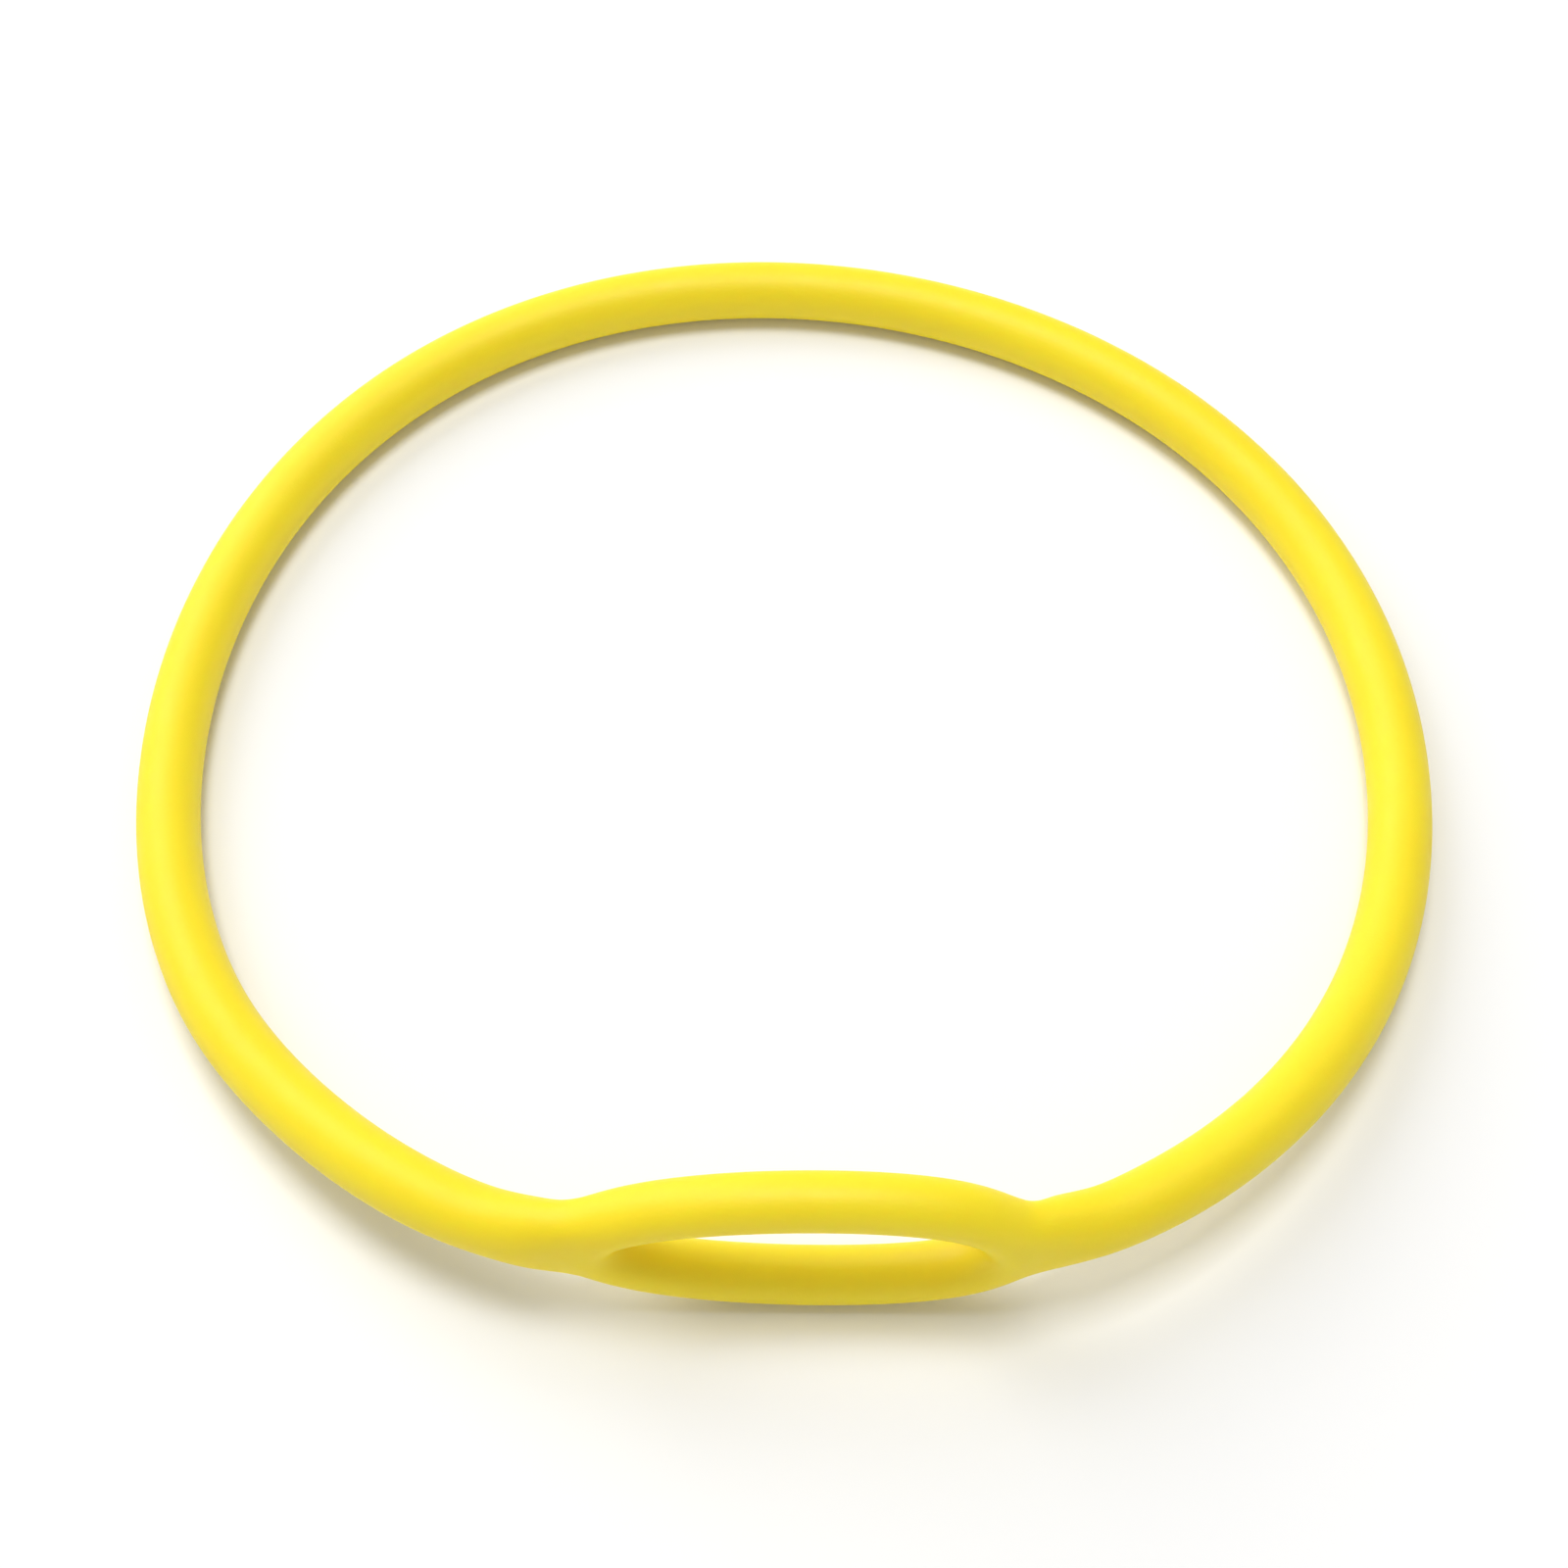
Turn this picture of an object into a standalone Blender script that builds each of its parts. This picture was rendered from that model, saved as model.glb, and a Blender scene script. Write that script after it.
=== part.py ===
"""Silicone necklace for a diver's spare regulator: a round cord loop that goes over the head, and a
small eye-shaped loop that grips the mouthpiece. It is modelled as it lies on a flat surface. The back of
the cord loop rests on the surface and the small loop stands on its lower strand at the front.
Units are metres, +Z is up, and the small loop is at -Y. The real object is one moulding. It is modelled
as its two working loops, which meet at the two necks and twist against each other about the X axis."""

import math

import bmesh
import bpy
import numpy as np
from mathutils import Matrix, Vector

# The cord of the neck loop, a little thinner at its necks, and the strands of the mouthpiece loop
CORD_DIAMETER = 0.0080
NECK_DIAMETER = 0.0076
NECK_TAPER = 0.0180  # length of cord over which it swells from the one diameter to the other
STRAND_DEPTH = 0.0069
CORD_SIDES = 16
FLAT_TO_AXIS = CORD_DIAMETER / 2 * math.cos(math.pi / CORD_SIDES)

# The neck loop's centreline, seen from above: a circle that the soft cord holds only roughly
LOOP_RADIUS = 0.0793
OVAL_SHARE = 0.0090
OVAL_ANGLE = math.radians(113.3)
EGG_SHARE = 0.0069
EGG_ANGLE = math.radians(-18.5)
SQUARE_SHARE = 0.0050
SQUARE_ANGLE = math.radians(37.6)
ARC_START = math.radians(-64.7)
ARC_END = math.radians(210.4)
ARC_POINTS = 600
LOOP_STATIONS = 108
SHARP_ANGLE = math.radians(50)  # only the cord's end faces meet its sides more sharply

# The mouthpiece loop stands upright, an eye between an outer and an inner outline. Each outline is an
# ellipse with ends as blunt as its exponent says, where 2 is a plain ellipse.
EYE_X = 0.0021
EYE_Y = -0.0739
OUTER_HALF_WIDTH = 0.0271
OUTER_HALF_HEIGHT = 0.0128
OUTER_EXPONENT = 2.13
INNER_HALF_WIDTH = 0.0202
INNER_HALF_HEIGHT = 0.0060
INNER_EXPONENT = 2.1
LEAN = 0.0026  # how far the middles of both strands lie towards +X from the middle between the necks
EYE_Z = OUTER_HALF_HEIGHT
EYE_STATIONS = 16

# The necks, where the cord forks into the two strands
NECK_STARTS = 0.0247  # from the eye's centre to where the cord begins to turn away from the X axis
NECK_FLARE = 0.0287  # from the eye's centre to the tall section that eases the cord into the fork
FLARE_HEIGHT = 1.42  # height of that section, as a share of the cord's
NECK_SPLIT = 0.0320  # from the eye's centre to the plane where the two modelled loops meet
NECK_EASE = 0.29  # share of the chord that each end of the neck's curve runs straight for
NECK_BACK = {1: 0.0015, -1: 0.0}  # how far each neck lies behind the eye's plane, by its side
NECK_POINTS = 60
TURN_STEP = 0.001  # radians past the arc's end, to find the direction there
GAP = 0.0003  # between the two modelled loops, at each neck

# A smoothed surface lies inside a ring of control points, so each ring is drawn larger by its own ratio
CAGE_SIDES = 8
SMOOTH_LEVELS = 2

YELLOW = (0.94, 0.74, 0.01, 1.0)
SILICONE_ROUGHNESS = 0.52


def cage_ratio(points_round):
    """How much larger than the wanted circle a ring of this many control points has to be."""
    return 3 / (2 + math.cos(2 * math.pi / points_round))


def clear_scene():
    for obj in list(bpy.data.objects):
        bpy.data.objects.remove(obj, do_unlink=True)


def loop_point(angle):
    """The neck loop's centreline at this angle, counted from +X towards +Y."""
    oval = OVAL_SHARE * math.cos(2 * (angle - OVAL_ANGLE))
    egg = EGG_SHARE * math.cos(3 * (angle - EGG_ANGLE))
    square = SQUARE_SHARE * math.cos(4 * (angle - SQUARE_ANGLE))
    radius = LOOP_RADIUS * (1 + oval + egg + square)
    return np.array([radius * math.cos(angle), radius * math.sin(angle)])


def neck_curve(arc_angle, side):
    """The cord's turn from the end of the arc into the neck on this side of the eye, as a cubic curve."""
    start = loop_point(arc_angle)
    along = loop_point(arc_angle - side * TURN_STEP) - start
    end = np.array([EYE_X + side * NECK_STARTS, EYE_Y + NECK_BACK[side]])
    handle = NECK_EASE * np.linalg.norm(end - start)
    first = start + handle * along / np.linalg.norm(along)
    last = end + handle * np.array([side, 0.0])
    t = np.linspace(0, 1, NECK_POINTS)[:, None]
    return (1 - t) ** 3 * start + 3 * (1 - t) ** 2 * t * first + 3 * (1 - t) * t**2 * last + t**3 * end


def cord_height(y):
    """The back half lies flat, and the front rises smoothly to the necks at the eye's mid height."""
    forward = np.clip(y / EYE_Y, 0, 1)
    return FLAT_TO_AXIS + (EYE_Z - FLAT_TO_AXIS) * forward**2


def cut_at(points, from_eye, side):
    """Where a neck's centreline on this side crosses the plane this far from the eye's centre."""
    plane_x = EYE_X + side * from_eye
    order = np.argsort(points[:, 0])
    y = np.interp(plane_x, points[order, 0], points[order, 1])
    return np.array([plane_x, y])


def cord_centreline():
    """The neck loop's centreline from the right split plane round the back to the left one."""
    right = neck_curve(ARC_START, 1)
    left = neck_curve(ARC_END, -1)
    right_end = cut_at(right, NECK_SPLIT, 1)
    left_end = cut_at(left, NECK_SPLIT, -1)
    arc = np.array([loop_point(a) for a in np.linspace(ARC_START, ARC_END, ARC_POINTS)])
    right = right[right[:, 0] > right_end[0]][::-1]
    left = left[left[:, 0] < left_end[0]]
    flat = np.vstack([right_end, right, arc[1:-1], left, left_end])
    return np.column_stack([flat, cord_height(flat[:, 1])])


def cord_radius(from_flare):
    """The cord's radius at this length from the flare of its neck."""
    share = min(from_flare / NECK_TAPER, 1)
    eased = share**2 * (3 - 2 * share)
    return (NECK_DIAMETER + (CORD_DIAMETER - NECK_DIAMETER) * eased) / 2


def evenly_spaced(points, count):
    """The same line as this many points, equal lengths apart."""
    run = np.concatenate([[0], np.cumsum(np.linalg.norm(np.diff(points, axis=0), axis=1))])
    wanted = np.linspace(0, run[-1], count)
    return np.column_stack([np.interp(wanted, run, points[:, k]) for k in range(3)])


def section_matrix(centre, along, across):
    """A frame at centre with its Z axis along the cord and its X axis as near to across as fits."""
    z = Vector(along).normalized()
    x = Vector(across)
    x = (x - x.dot(z) * z).normalized()
    turn = Matrix((x, z.cross(x), z)).transposed()
    return Matrix.Translation(centre) @ turn.to_4x4()


def add_section(bm, matrix, sides, half_width, half_height, first_angle=0.0):
    """A ring of vertices, not yet joined to anything."""
    ring = []
    for k in range(sides):
        angle = first_angle + 2 * math.pi * k / sides
        offset = Vector((half_width * math.cos(angle), half_height * math.sin(angle), 0))
        ring.append(bm.verts.new(matrix @ offset))
    return ring


def join_sections(bm, first, second):
    """Quads between two rings of vertices that correspond one to one."""
    count = len(first)
    for k in range(count):
        after = (k + 1) % count
        bm.faces.new((first[k], first[after], second[after], second[k]))


def silicone(name):
    material = bpy.data.materials.new(name)
    material.use_nodes = True
    shader = material.node_tree.nodes["Principled BSDF"]
    shader.inputs["Base Color"].default_value = YELLOW
    shader.inputs["Roughness"].default_value = SILICONE_ROUGHNESS
    shader.inputs["Metallic"].default_value = 0.0
    material.diffuse_color = YELLOW
    return material


def object_from(bm, name, origin):
    """An object with this name whose origin is at this point, made from a mesh in world coordinates."""
    bmesh.ops.recalc_face_normals(bm, faces=bm.faces)
    bmesh.ops.translate(bm, verts=bm.verts, vec=-Vector(origin))
    mesh = bpy.data.meshes.new(name)
    bm.to_mesh(mesh)
    bm.free()
    mesh.materials.append(silicone(name + "_silicone"))
    obj = bpy.data.objects.new(name, mesh)
    obj.location = origin
    bpy.context.scene.collection.objects.link(obj)
    return obj


def make_neck_loop(line):
    """The round cord, with one flat of its section underneath so that its back rests flat."""
    bm = bmesh.new()
    stations = evenly_spaced(line, LOOP_STATIONS)
    tangents = np.gradient(stations, axis=0)
    tangents[0] = (1, 0, 0)
    tangents[-1] = (1, 0, 0)
    half_side = math.pi / CORD_SIDES
    spacing = np.linalg.norm(stations[1] - stations[0])
    rings = []
    for k, (centre, along) in enumerate(zip(stations, tangents)):
        outward = np.cross(along, (0, 0, 1))
        matrix = section_matrix(centre, along, outward)
        from_end = spacing * min(k, LOOP_STATIONS - 1 - k)
        radius = cord_radius(NECK_SPLIT - NECK_FLARE + from_end)
        rings.append(add_section(bm, matrix, CORD_SIDES, radius, radius, half_side))
    for before, after in zip(rings, rings[1:]):
        join_sections(bm, before, after)
    bm.faces.new(rings[0])
    bm.faces.new(rings[-1])
    loop = object_from(bm, "neck_loop", (0, 0, 0))
    loop.data.shade_smooth()
    loop.data.set_sharp_from_angle(angle=SHARP_ANGLE)
    return loop


def outline_point(half_width, half_height, exponent, angle):
    """A point of one of the eye's outlines, measured from the eye's centre."""
    across, up = math.cos(angle), math.sin(angle)
    x = half_width * math.copysign(abs(across) ** (2 / exponent), across) + LEAN * up**2
    z = half_height * math.copysign(abs(up) ** (2 / exponent), up)
    return Vector((x, 0, z))


def add_strand_section(bm, angle):
    """A section from the inner outline to the outer one. Its first vertex is the outermost."""
    outer = outline_point(OUTER_HALF_WIDTH, OUTER_HALF_HEIGHT, OUTER_EXPONENT, angle)
    inner = outline_point(INNER_HALF_WIDTH, INNER_HALF_HEIGHT, INNER_EXPONENT, angle)
    thick = outer - inner
    centre = Vector((EYE_X, EYE_Y, EYE_Z)) + (outer + inner) / 2 * cage_ratio(EYE_STATIONS)
    matrix = section_matrix(centre, (-thick.z, 0, thick.x), thick)
    ratio = cage_ratio(CAGE_SIDES)
    return add_section(bm, matrix, CAGE_SIDES, thick.length / 2 * ratio, STRAND_DEPTH / 2 * ratio)


def open_patch(rings, end):
    """The outermost vertex of section number end, and the eight corners of the hole that it leaves."""
    before = rings[end - 1]
    middle = rings[end]
    after = rings[(end + 1) % len(rings)]
    corners = [before[0], before[1], middle[1], after[1], after[0], after[-1], middle[-1], before[-1]]
    return middle[0], corners


def add_neck(bm, corners, side):
    """A stub that eases from the hole in the ring of strands into the cord, out to the split plane."""
    line = neck_curve(ARC_START if side > 0 else ARC_END, side)
    ratio = cage_ratio(CAGE_SIDES)
    stub = [corners]
    for from_eye, height in ((NECK_FLARE, FLARE_HEIGHT), (NECK_SPLIT - GAP / 2, 1.0)):
        x, y = cut_at(line, from_eye, side)
        z = cord_height(y)
        radius = cord_radius(from_eye - NECK_FLARE) * ratio
        ring = []
        for k in range(CAGE_SIDES):
            angle = side * (2 * math.pi * k / CAGE_SIDES - math.pi / 2)
            back, up = radius * math.cos(angle), radius * height * math.sin(angle)
            ring.append(bm.verts.new((x, y + back, z + up)))
        stub.append(ring)
    for inner, outer in zip(stub, stub[1:]):
        join_sections(bm, inner, outer)
    return bm.faces.new(stub[-1])


def make_mouthpiece_loop(hinge_point):
    """Two strands in one ring, with a neck at each end, drawn as a control cage and smoothed."""
    bm = bmesh.new()
    rings = [add_strand_section(bm, 2 * math.pi * k / EYE_STATIONS) for k in range(EYE_STATIONS)]
    for before, after in zip(rings, rings[1:] + rings[:1]):
        join_sections(bm, before, after)
    caps = []
    for side, end in ((1, 0), (-1, EYE_STATIONS // 2)):
        outermost, corners = open_patch(rings, end)
        bm.verts.remove(outermost)
        caps.append(add_neck(bm, corners, side))
    crease = bm.edges.layers.float.new("crease_edge")
    for cap in caps:
        for edge in cap.edges:
            edge[crease] = 1.0
    loop = object_from(bm, "mouthpiece_loop", hinge_point)
    smooth = loop.modifiers.new("smooth", "SUBSURF")
    smooth.levels = SMOOTH_LEVELS
    smooth.render_levels = SMOOTH_LEVELS
    loop.data.shade_smooth()
    return loop


def trim_ends(line):
    """Pulls each end of the centreline back by half the gap that keeps the two loops apart."""
    trimmed = line.copy()
    trimmed[0, 0] += GAP / 2
    trimmed[-1, 0] -= GAP / 2
    return trimmed


def stand_on_origin(objects):
    """Moves the objects together so that the middle of their footprint is at the origin."""
    bpy.context.view_layer.update()
    graph = bpy.context.evaluated_depsgraph_get()
    corners = []
    for obj in objects:
        mesh = obj.evaluated_get(graph).to_mesh()
        corners += [obj.matrix_world @ vertex.co for vertex in mesh.vertices]
        obj.evaluated_get(graph).to_mesh_clear()
    corners = np.array(corners)
    middle = (corners.min(axis=0) + corners.max(axis=0)) / 2
    for obj in objects:
        obj.location -= Vector((middle[0], middle[1], corners[:, 2].min()))


def main():
    clear_scene()
    line = cord_centreline()
    hinge_point = (EYE_X, (line[0, 1] + line[-1, 1]) / 2, (line[0, 2] + line[-1, 2]) / 2)
    neck_loop = make_neck_loop(trim_ends(line))
    mouthpiece_loop = make_mouthpiece_loop(hinge_point)
    stand_on_origin((neck_loop, mouthpiece_loop))


main()
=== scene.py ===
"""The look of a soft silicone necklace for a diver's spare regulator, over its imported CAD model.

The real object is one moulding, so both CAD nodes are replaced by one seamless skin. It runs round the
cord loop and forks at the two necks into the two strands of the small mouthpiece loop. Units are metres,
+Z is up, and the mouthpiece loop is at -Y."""

import math

import bmesh
import bpy
import numpy as np
from mathutils import Matrix, Quaternion, Vector


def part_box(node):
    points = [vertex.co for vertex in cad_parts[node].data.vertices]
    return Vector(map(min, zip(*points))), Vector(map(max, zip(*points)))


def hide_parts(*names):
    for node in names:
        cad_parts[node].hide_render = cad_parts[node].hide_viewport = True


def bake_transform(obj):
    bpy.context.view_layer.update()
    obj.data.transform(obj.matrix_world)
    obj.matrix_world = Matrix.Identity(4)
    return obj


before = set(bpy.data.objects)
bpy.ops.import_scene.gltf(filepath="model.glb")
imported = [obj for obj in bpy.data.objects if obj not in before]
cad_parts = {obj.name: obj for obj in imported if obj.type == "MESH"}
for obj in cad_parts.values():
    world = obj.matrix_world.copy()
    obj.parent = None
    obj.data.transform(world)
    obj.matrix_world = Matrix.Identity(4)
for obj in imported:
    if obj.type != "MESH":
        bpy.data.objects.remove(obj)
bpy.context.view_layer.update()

# The moulding's driving dimensions
CORD_DIAMETER = 0.0080
NECK_DIAMETER = 0.0076
NECK_TAPER = 0.0180
STRAND_DEPTH = 0.0069
LOOP_RADIUS = 0.0793
OVAL_SHARE, OVAL_ANGLE = 0.0090, math.radians(113.3)
EGG_SHARE, EGG_ANGLE = 0.0069, math.radians(-18.5)
SQUARE_SHARE, SQUARE_ANGLE = 0.0050, math.radians(37.6)
ARC_START, ARC_END = math.radians(-64.7), math.radians(210.4)
EYE_FROM_LOOP = Vector((0.0021, -0.0739, 0))
OUTER_HALF_WIDTH, OUTER_HALF_HEIGHT, OUTER_EXPONENT = 0.0271, 0.0128, 2.13
INNER_HALF_WIDTH, INNER_HALF_HEIGHT, INNER_EXPONENT = 0.0202, 0.0060, 2.1
LEAN = 0.0026
NECK_STARTS = 0.0247
NECK_FLARE = 0.0287
FLARE_HEIGHT = 1.42
NECK_EASE = 0.29
NECK_BACK = {1: 0.0015, -1: 0.0}
ARC_POINTS = 600
NECK_POINTS = 60
TURN_STEP = 0.001

# The control cage of the skin
CAGE_SIDES = 8
EYE_STATIONS = 16
CORD_STATION_LENGTH = 0.0055
SKIN_LEVELS = 3

# The silicone: two near yellows in soft clouds, patchy roughness, long faint waves and a fine grain
YELLOW_CLEAR = (0.96, 0.765, 0.012, 1)
YELLOW_DEEP = (0.92, 0.720, 0.008, 1)
CLOUDS_PER_METRE = 45
PATCHES_PER_METRE = 260
SILICONE_ROUGHNESS = (0.46, 0.58)
NOISE_MIDDLE = (0.25, 0.75)
WAVES_PER_METRE = 90
WAVE_HEIGHT = 0.00012
GRAINS_PER_METRE = 2600
GRAIN_HEIGHT = 0.00002

# The floor glows faintly near the object and strongly far away, and the world is brightest at the horizon
FLOOR_HALF_SIDE = 40.0
FLOOR_GREY = (0.9, 0.9, 0.9, 1)
GLOW_REACH = (0.5, 3.5)
GLOW_STRENGTH = (0.02, 0.65)
HORIZON_REACH = (0.04, 0.20)
HORIZON_LIGHT, OVERHEAD_LIGHT = 1.0, 0.36
WHITE = (1, 1, 1, 1)

# Each soft box: its name, place, side and power in watts
LIGHTS = (
    ("key", (-1.30, 1.30, 1.50), 1.8, 30.0),
    ("top", (-0.06, 0.10, 1.95), 0.75, 19.2),
)

# The camera, aimed at a point near the loop's centre
CAMERA_DISTANCE = 0.3695
CAMERA_ELEVATION = math.radians(55.7)
CAMERA_TURN = math.radians(0.17)
CAMERA_ROLL = math.radians(0.55)
CAMERA_AIM = Vector((0.00024, -0.00631, 0.0040))
CAMERA_LENS = 66.55

low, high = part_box("mouthpiece_loop")
EYE = Vector(((low.x + high.x) / 2, low.y + STRAND_DEPTH / 2, (low.z + high.z) / 2))
LOOP = Vector((EYE.x - EYE_FROM_LOOP.x, EYE.y - EYE_FROM_LOOP.y, 0))


def cage_ratio(points_round):
    """How much larger than the wanted circle a ring of this many control points has to be."""
    return 3 / (2 + math.cos(2 * math.pi / points_round))


def loop_point(angle):
    oval = OVAL_SHARE * math.cos(2 * (angle - OVAL_ANGLE))
    egg = EGG_SHARE * math.cos(3 * (angle - EGG_ANGLE))
    square = SQUARE_SHARE * math.cos(4 * (angle - SQUARE_ANGLE))
    radius = LOOP_RADIUS * (1 + oval + egg + square)
    return np.array([LOOP.x + radius * math.cos(angle), LOOP.y + radius * math.sin(angle)])


def neck_curve(arc_angle, side):
    """The cord's turn from the end of the arc into the neck on this side of the eye."""
    start = loop_point(arc_angle)
    along = loop_point(arc_angle - side * TURN_STEP) - start
    end = np.array([EYE.x + side * NECK_STARTS, EYE.y + NECK_BACK[side]])
    handle = NECK_EASE * np.linalg.norm(end - start)
    first = start + handle * along / np.linalg.norm(along)
    last = end + handle * np.array([side, 0.0])
    t = np.linspace(0, 1, NECK_POINTS)[:, None]
    return (1 - t) ** 3 * start + 3 * (1 - t) ** 2 * t * first + 3 * (1 - t) * t**2 * last + t**3 * end


def cord_height(y):
    """The back half lies flat, and the front rises smoothly to the necks at the eye's mid height."""
    forward = np.clip((y - LOOP.y) / EYE_FROM_LOOP.y, 0, 1)
    return CORD_DIAMETER / 2 + (EYE.z - CORD_DIAMETER / 2) * forward**2


def cord_centreline():
    """The cord's centreline from the right neck round the back to the left neck."""
    right = neck_curve(ARC_START, 1)[::-1]
    left = neck_curve(ARC_END, -1)
    right = right[right[:, 0] > EYE.x + NECK_FLARE]
    left = left[left[:, 0] < EYE.x - NECK_FLARE]
    arc = np.array([loop_point(a) for a in np.linspace(ARC_START, ARC_END, ARC_POINTS)])
    flat = np.vstack([right, arc[1:-1], left])
    return np.column_stack([flat, cord_height(flat[:, 1])])


def evenly_spaced(points, spacing):
    run = np.concatenate([[0], np.cumsum(np.linalg.norm(np.diff(points, axis=0), axis=1))])
    wanted = np.linspace(0, run[-1], round(run[-1] / spacing) + 1)
    return np.column_stack([np.interp(wanted, run, points[:, k]) for k in range(3)])


def section_matrix(centre, along, across):
    """A frame at centre with its Z axis along the cord and its X axis as near to across as fits."""
    z = Vector(along).normalized()
    x = Vector(across)
    x = (x - x.dot(z) * z).normalized()
    turn = Matrix((x, z.cross(x), z)).transposed()
    return Matrix.Translation(centre) @ turn.to_4x4()


def add_section(bm, matrix, half_width, half_height):
    """A ring of cage vertices whose smoothed section has this half width and half height."""
    ratio = cage_ratio(CAGE_SIDES)
    ring = []
    for k in range(CAGE_SIDES):
        angle = 2 * math.pi * k / CAGE_SIDES
        offset = Vector((half_width * math.cos(angle), half_height * math.sin(angle), 0))
        ring.append(bm.verts.new(matrix @ (ratio * offset)))
    return ring


def join_sections(bm, first, second):
    for k in range(CAGE_SIDES):
        after = (k + 1) % CAGE_SIDES
        bm.faces.new((first[k], first[after], second[after], second[k]))


def outline_point(half_width, half_height, exponent, angle):
    """A point of one of the eye's outlines, measured from the eye's centre."""
    across, up = math.cos(angle), math.sin(angle)
    x = half_width * math.copysign(abs(across) ** (2 / exponent), across) + LEAN * up**2
    z = half_height * math.copysign(abs(up) ** (2 / exponent), up)
    return Vector((x, 0, z))


def add_strand_section(bm, angle):
    """A section from the inner outline to the outer one. Its first vertex is the outermost."""
    outer = outline_point(OUTER_HALF_WIDTH, OUTER_HALF_HEIGHT, OUTER_EXPONENT, angle)
    inner = outline_point(INNER_HALF_WIDTH, INNER_HALF_HEIGHT, INNER_EXPONENT, angle)
    thick = outer - inner
    centre = EYE + (outer + inner) / 2 * cage_ratio(EYE_STATIONS)
    matrix = section_matrix(centre, (-thick.z, 0, thick.x), thick)
    return add_section(bm, matrix, thick.length / 2, STRAND_DEPTH / 2)


def open_patch(bm, rings, end):
    """Opens the ring of strands at its outermost vertex there, and returns the hole's eight corners."""
    before = rings[end - 1]
    middle = rings[end]
    after = rings[(end + 1) % len(rings)]
    corners = [before[0], before[1], middle[1], after[1], after[0], after[-1], middle[-1], before[-1]]
    bm.verts.remove(middle[0])
    return corners


def cord_radius(from_flare):
    """The cord's radius at this length from the flare of its neck."""
    share = min(from_flare / NECK_TAPER, 1)
    eased = share**2 * (3 - 2 * share)
    return (NECK_DIAMETER + (CORD_DIAMETER - NECK_DIAMETER) * eased) / 2


def facing(corners, side):
    """The corners of the hole on this side, in the order of the cord's sections."""
    return [corners[(6 + side * k) % CAGE_SIDES] for k in range(CAGE_SIDES)]


def make_skin():
    """One closed surface: a ring of two strands, and the cord from its right neck to its left neck."""
    bm = bmesh.new()
    eye_rings = [add_strand_section(bm, 2 * math.pi * k / EYE_STATIONS) for k in range(EYE_STATIONS)]
    for before, after in zip(eye_rings, eye_rings[1:] + eye_rings[:1]):
        join_sections(bm, before, after)
    right_corners = open_patch(bm, eye_rings, 0)
    left_corners = open_patch(bm, eye_rings, EYE_STATIONS // 2)
    stations = evenly_spaced(cord_centreline(), CORD_STATION_LENGTH)
    spacing = np.linalg.norm(stations[1] - stations[0])
    tangents = np.gradient(stations, axis=0)
    last = len(stations) - 1
    cord_rings = []
    for k, (centre, along) in enumerate(zip(stations, tangents)):
        matrix = section_matrix(centre, along, np.cross(along, (0, 0, 1)))
        radius = cord_radius(spacing * min(k, last - k))
        height = radius * FLARE_HEIGHT if k in (0, last) else radius
        cord_rings.append(add_section(bm, matrix, radius, height))
    for before, after in zip(cord_rings, cord_rings[1:]):
        join_sections(bm, before, after)
    join_sections(bm, facing(right_corners, 1), cord_rings[0])
    join_sections(bm, cord_rings[-1], facing(left_corners, -1))
    bmesh.ops.recalc_face_normals(bm, faces=bm.faces)
    mesh = bpy.data.meshes.new("cage")
    bm.to_mesh(mesh)
    bm.free()
    return mesh


def smoothed(cage, name, levels):
    """An object with the cage's smooth surface as its own mesh."""
    obj = bpy.data.objects.new(name, cage)
    bpy.context.scene.collection.objects.link(obj)
    smooth = obj.modifiers.new("smooth", "SUBSURF")
    smooth.levels = levels
    smooth.render_levels = levels
    graph = bpy.context.evaluated_depsgraph_get()
    mesh = bpy.data.meshes.new_from_object(obj.evaluated_get(graph))
    obj.modifiers.clear()
    obj.data = mesh
    mesh.shade_smooth()
    return obj


def twist_with_eye(skin):
    """Puts each point on the +X side of the eye's centre, as far from it as it really is, bakes the skin's

    transform there, and then puts every point back where it was."""
    points = skin.data.vertices
    rest = np.empty(len(points) * 3, np.float32)
    points.foreach_get("co", rest)
    from_eye = np.linalg.norm(rest.reshape(-1, 3) - np.array(EYE), axis=1)
    unrolled = rest.reshape(-1, 3).copy()
    unrolled[:, 0] = EYE.x + from_eye
    points.foreach_set("co", unrolled.ravel())
    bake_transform(skin)
    points.foreach_set("co", rest)
    skin.data.update()


def noise_at(nodes, links, coordinates, features_per_metre, detail):
    """Smooth noise in space, from 0 to 1."""
    noise = nodes.new("ShaderNodeTexNoise")
    noise.inputs["Scale"].default_value = features_per_metre
    noise.inputs["Detail"].default_value = detail
    links.new(coordinates, noise.inputs["Vector"])
    return noise.outputs["Fac"]


def map_range(nodes, links, value, source, target):
    """The value, mapped from the source range to the target range and held within it."""
    node = nodes.new("ShaderNodeMapRange")
    node.inputs["From Min"].default_value, node.inputs["From Max"].default_value = source
    node.inputs["To Min"].default_value, node.inputs["To Max"].default_value = target
    links.new(value, node.inputs["Value"])
    return node.outputs["Result"]


def bump(nodes, links, height, distance, normal=None):
    """A surface normal that stands proud by up to this distance where the height is 1."""
    node = nodes.new("ShaderNodeBump")
    node.inputs["Distance"].default_value = distance
    links.new(height, node.inputs["Height"])
    if normal is not None:
        links.new(normal, node.inputs["Normal"])
    return node.outputs["Normal"]


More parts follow.
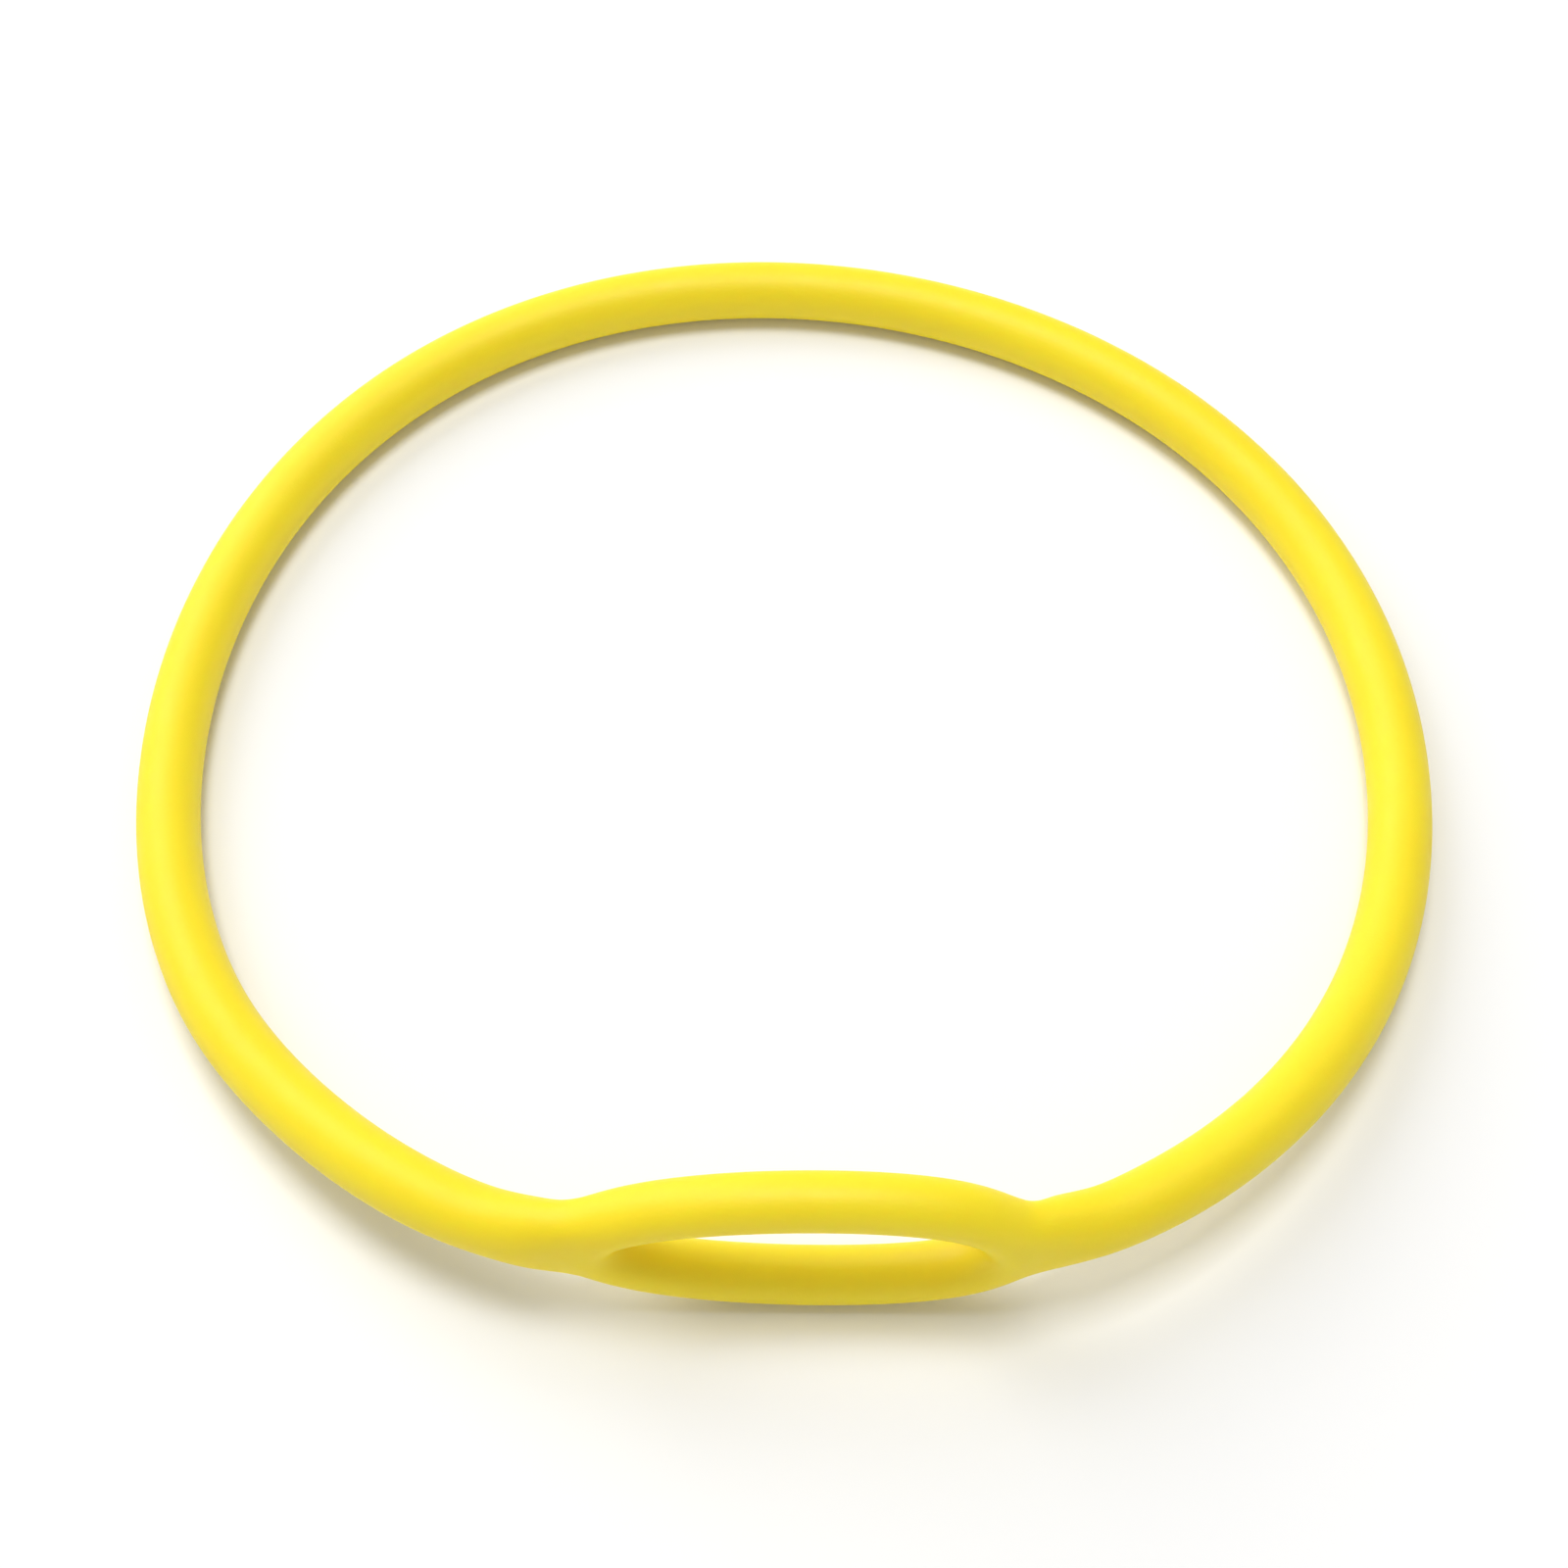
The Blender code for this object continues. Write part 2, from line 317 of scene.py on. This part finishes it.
def silicone():
    """Satin yellow silicone: light enters it a little, and its skin has the mould's fine spark grain."""
    material = bpy.data.materials.new("yellow_silicone")
    material.use_nodes = True
    nodes, links = material.node_tree.nodes, material.node_tree.links
    shader = nodes["Principled BSDF"]
    place = nodes.new("ShaderNodeTexCoord").outputs["Object"]

    clouds = noise_at(nodes, links, place, CLOUDS_PER_METRE, 3)
    tint = nodes.new("ShaderNodeMix")
    tint.data_type = "RGBA"
    tint.inputs["A"].default_value = YELLOW_DEEP
    tint.inputs["B"].default_value = YELLOW_CLEAR
    links.new(map_range(nodes, links, clouds, NOISE_MIDDLE, (0, 1)), tint.inputs["Factor"])
    links.new(tint.outputs["Result"], shader.inputs["Base Color"])

    patches = noise_at(nodes, links, place, PATCHES_PER_METRE, 4)
    roughness = map_range(nodes, links, patches, NOISE_MIDDLE, SILICONE_ROUGHNESS)
    links.new(roughness, shader.inputs["Roughness"])

    waves = bump(nodes, links, noise_at(nodes, links, place, WAVES_PER_METRE, 1), WAVE_HEIGHT)
    grain = bump(nodes, links, noise_at(nodes, links, place, GRAINS_PER_METRE, 2), GRAIN_HEIGHT, waves)
    links.new(grain, shader.inputs["Normal"])

    shader.inputs["Specular IOR Level"].default_value = 0.44
    shader.inputs["Subsurface Weight"].default_value = 0.45
    shader.inputs["Subsurface Radius"].default_value = (1.0, 0.75, 0.10)
    shader.inputs["Subsurface Scale"].default_value = 0.0030
    return material


def make_floor():
    """A wide pale floor with a painted glow, faint near the object and strong far away, so that it ends white
    at the horizon.
    """
    bm = bmesh.new()
    bmesh.ops.create_grid(bm, x_segments=1, y_segments=1, size=FLOOR_HALF_SIDE)
    mesh = bpy.data.meshes.new("floor")
    bm.to_mesh(mesh)
    bm.free()
    floor = bpy.data.objects.new("floor", mesh)
    bpy.context.scene.collection.objects.link(floor)

    material = bpy.data.materials.new("pale_floor")
    material.use_nodes = True
    nodes, links = material.node_tree.nodes, material.node_tree.links
    shader = nodes["Principled BSDF"]
    shader.inputs["Base Color"].default_value = FLOOR_GREY
    shader.inputs["Roughness"].default_value = 0.9
    shader.inputs["Specular IOR Level"].default_value = 0.1
    shader.inputs["Emission Color"].default_value = WHITE
    distance = nodes.new("ShaderNodeVectorMath")
    distance.operation = "LENGTH"
    links.new(nodes.new("ShaderNodeTexCoord").outputs["Object"], distance.inputs[0])
    # painted glow: the floor emits light of its own, faint near the object and strong far away
    glow = map_range(nodes, links, distance.outputs["Value"], GLOW_REACH, GLOW_STRENGTH)
    links.new(glow, shader.inputs["Emission Strength"])
    mesh.materials.append(material)


def area_light(name, location, size, energy):
    """A square soft box that faces the middle of the object."""
    data = bpy.data.lights.new(name, "AREA")
    data.size = size
    data.energy = energy
    light = bpy.data.objects.new(name, data)
    light.location = location
    light.rotation_mode = "QUATERNION"
    light.rotation_quaternion = (-Vector(location)).to_track_quat("-Z", "Y")
    bpy.context.scene.collection.objects.link(light)


def make_world():
    """White light from all round, brighter low down as a white studio's walls are."""
    world = bpy.data.worlds.new("studio")
    world.use_nodes = True
    nodes, links = world.node_tree.nodes, world.node_tree.links
    up = nodes.new("ShaderNodeSeparateXYZ")
    links.new(nodes.new("ShaderNodeTexCoord").outputs["Generated"], up.inputs["Vector"])
    fade = map_range(nodes, links, up.outputs["Z"], HORIZON_REACH, (HORIZON_LIGHT, OVERHEAD_LIGHT))
    background = nodes["Background"]
    background.inputs["Color"].default_value = WHITE
    links.new(fade, background.inputs["Strength"])
    bpy.context.scene.world = world


def make_camera():
    data = bpy.data.cameras.new("camera")
    data.lens = CAMERA_LENS
    data.sensor_width = 36
    data.clip_start = 0.01
    camera = bpy.data.objects.new("camera", data)
    level = math.cos(CAMERA_ELEVATION)
    gaze = Vector((math.sin(CAMERA_TURN) * level, math.cos(CAMERA_TURN) * level, -math.sin(CAMERA_ELEVATION)))
    camera.location = LOOP + CAMERA_AIM - CAMERA_DISTANCE * gaze
    camera.rotation_mode = "QUATERNION"
    camera.rotation_quaternion = Quaternion(gaze, -CAMERA_ROLL) @ gaze.to_track_quat("-Z", "Y")
    bpy.context.scene.collection.objects.link(camera)
    bpy.context.scene.camera = camera


make_camera()
skin = smoothed(make_skin(), "necklace_skin", SKIN_LEVELS)
skin.data.materials.append(silicone())
twist_with_eye(skin)
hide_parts("neck_loop", "mouthpiece_loop")

make_floor()
make_world()
for name, location, size, energy in LIGHTS:
    area_light(name, location, size, energy)
bpy.context.scene.view_settings.view_transform = "Standard"
